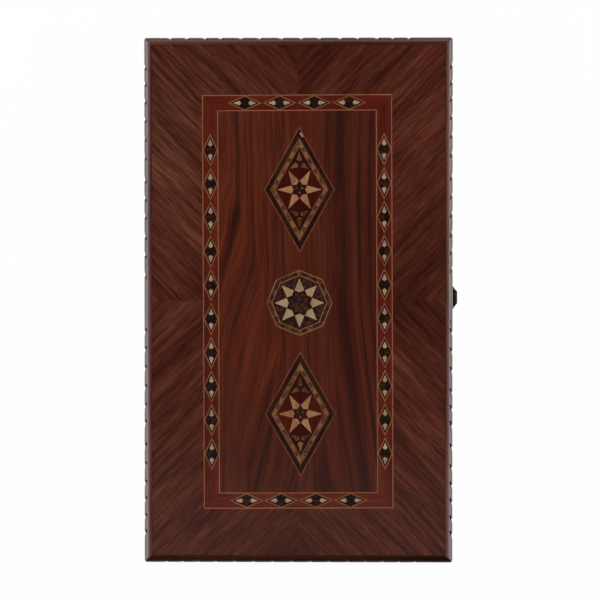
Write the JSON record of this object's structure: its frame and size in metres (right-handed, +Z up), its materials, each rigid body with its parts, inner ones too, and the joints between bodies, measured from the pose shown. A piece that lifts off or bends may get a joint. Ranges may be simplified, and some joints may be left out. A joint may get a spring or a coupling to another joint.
{
  "type": "backgammon board",
  "caption": "Folding backgammon case: two shallow carved wooden trays hinged along one long side, with inlaid outer faces, inlaid points inside and a hasp latch.",
  "frame": {"origin": "in the plane the closed case rests on, under the middle of the case's wooden body", "axes": "+X across the case from the hinges to the latch, +Y along its length, +Z up"},
  "size_m": [0.2982, 0.491, 0.078],
  "materials": {
    "carved_walnut": "gloss lacquer over carved walnut",
    "field_walnut": "gloss lacquer over walnut veneer",
    "padauk": "gloss lacquer over red veneer",
    "rosewood": "gloss lacquer over streaked veneer",
    "light_line": "gloss lacquer over pale veneer",
    "maple": "gloss lacquer over pale veneer",
    "ebony": "gloss lacquer over near-black veneer",
    "olive_wood": "gloss lacquer over tan veneer",
    "dark_red_wood": "gloss lacquer over dark red veneer",
    "olive_tiles": "gloss lacquer over olive-brown veneer",
    "mottled_tiles": "gloss lacquer over mottled veneer",
    "inner_walnut": "satin walnut veneer",
    "dark_point_wood": "satin near-black veneer",
    "plywood": "raw plywood",
    "brass": "aged brass",
    "screw_brass": "aged brass",
    "dark_brass": "blackened brass",
    "steel_pin": "bright drawn steel"
  },
  "bodies": {
    "base": {"base_front_wall": "carved_walnut", "base_rear_wall": "carved_walnut", "base_hinge_wall": "carved_walnut", "base_latch_wall": "carved_walnut", "base_panel": "plywood", "base_outer_field": "field_walnut", "base_stringing": "light_line", "base_border_band": "padauk", "base_lozenge_frames": "light_line", "base_lozenge_grounds": "ebony", "base_lozenge_kites": "maple", "base_centre_veneer": "rosewood", "base_medallion_lines": "light_line", "base_medallion_ebony": "ebony", "base_rope_banding": "olive_wood", "base_rope_slips": "ebony", "base_medallion_grounds": "dark_red_wood", "base_star_kites": "maple", "base_mosaic_tiles": "olive_tiles", "base_rosette_ground": "ebony", "base_rosette_tiles": "mottled_tiles", "base_inner_field": "inner_walnut", "base_light_points": "maple", "base_dark_points": "dark_point_wood", "base_hinge_leaves": "brass", "base_hinge_screws": "screw_brass", "hinge_pins": "steel_pin", "catch_plate": "dark_brass", "catch_nails": "dark_brass"},
    "lid": {"lid_front_wall": "carved_walnut", "lid_rear_wall": "carved_walnut", "lid_hinge_wall": "carved_walnut", "lid_latch_wall": "carved_walnut", "lid_panel": "plywood", "lid_outer_field": "field_walnut", "lid_stringing": "light_line", "lid_border_band": "padauk", "lid_lozenge_frames": "light_line", "lid_lozenge_grounds": "ebony", "lid_lozenge_kites": "maple", "lid_centre_veneer": "rosewood", "lid_medallion_lines": "light_line", "lid_medallion_ebony": "ebony", "lid_rope_banding": "olive_wood", "lid_rope_slips": "ebony", "lid_medallion_grounds": "dark_red_wood", "lid_star_kites": "maple", "lid_mosaic_tiles": "olive_tiles", "lid_rosette_ground": "ebony", "lid_rosette_tiles": "mottled_tiles", "lid_inner_field": "inner_walnut", "lid_light_points": "maple", "lid_dark_points": "dark_point_wood", "lid_hinge_leaves": "brass", "lid_hinge_screws": "screw_brass", "latch_plate": "dark_brass", "latch_plate_nails": "dark_brass", "hasp_pin": "steel_pin"},
    "hasp": {"hasp": "dark_brass"}
  },
  "joints": [
    {"name": "lid_hinge", "type": "hinge", "parent": "base", "child": "lid", "pos_m": [-0.1453, 0, 0.039], "axis": [0, -1, 0], "range_deg": [0, 180]},
    {"name": "hasp_hinge", "type": "hinge", "parent": "lid", "child": "hasp", "pos_m": [0.1471, 0.0024, 0.048], "axis": [0, -1, 0], "range_deg": [0, 120]}
  ]
}
